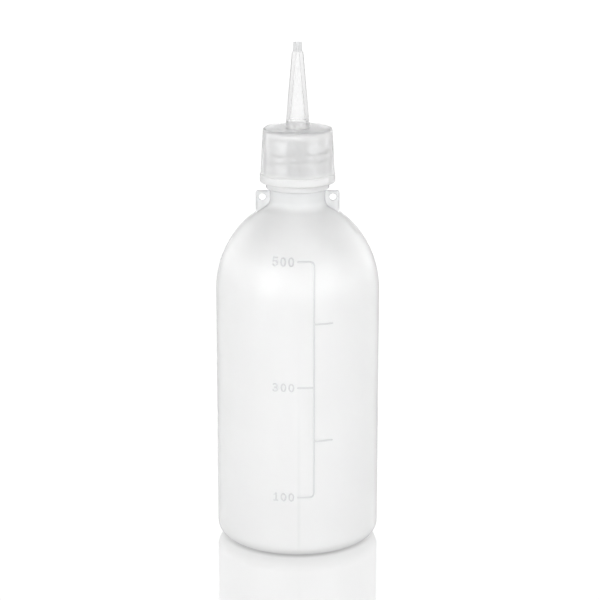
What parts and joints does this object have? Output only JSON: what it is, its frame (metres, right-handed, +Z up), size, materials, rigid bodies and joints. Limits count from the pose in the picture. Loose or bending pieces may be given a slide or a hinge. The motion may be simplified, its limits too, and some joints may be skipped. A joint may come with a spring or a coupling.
{
  "type": "squeeze bottle",
  "caption": "Round translucent squeeze bottle with a raised scale, eyed lugs at the neck, and a screw cap that clamps a tapered spout with an open tip.",
  "frame": {"origin": "centre of the foot ring, on the surface that the bottle stands on", "axes": "+Z up the bottle's axis to the spout's tip, -Y out of the side with the scale, X through the two lugs"},
  "size_m": [0.073, 0.0733, 0.2259],
  "materials": {
    "bottle": "natural low-density polyethylene, milky and translucent, satin",
    "sealing_washer": "soft grey polyethylene foam, matt",
    "spout_nozzle": "natural polyethylene, clear and glossy",
    "screw_cap": "natural polyethylene, translucent, smooth"
  },
  "bodies": {
    "bottle": {"bottle": "bottle"},
    "washer": {"sealing_washer": "sealing_washer"},
    "nozzle": {"spout_nozzle": "spout_nozzle"},
    "cap": {"screw_cap": "screw_cap"}
  },
  "joints": [
    {"name": "closure_lift_off", "type": "slide", "parent": "bottle", "child": "washer", "axis": [0, 0, 1], "range_m": [0, 0.06]},
    {"name": "closure_rise", "type": "slide", "parent": "washer", "child": "nozzle", "axis": [0, 0, 1], "range_m": [0, 0.0065]},
    {"name": "cap_turn", "type": "hinge", "parent": "nozzle", "child": "cap", "pos_m": [0, 0, 0.176], "axis": [0, 0, 1], "range_deg": [0, 720]}
  ],
  "couplings": [
    {"joint": "closure_rise", "follows": "cap_turn", "m_per_rad": 0.0005093}
  ]
}
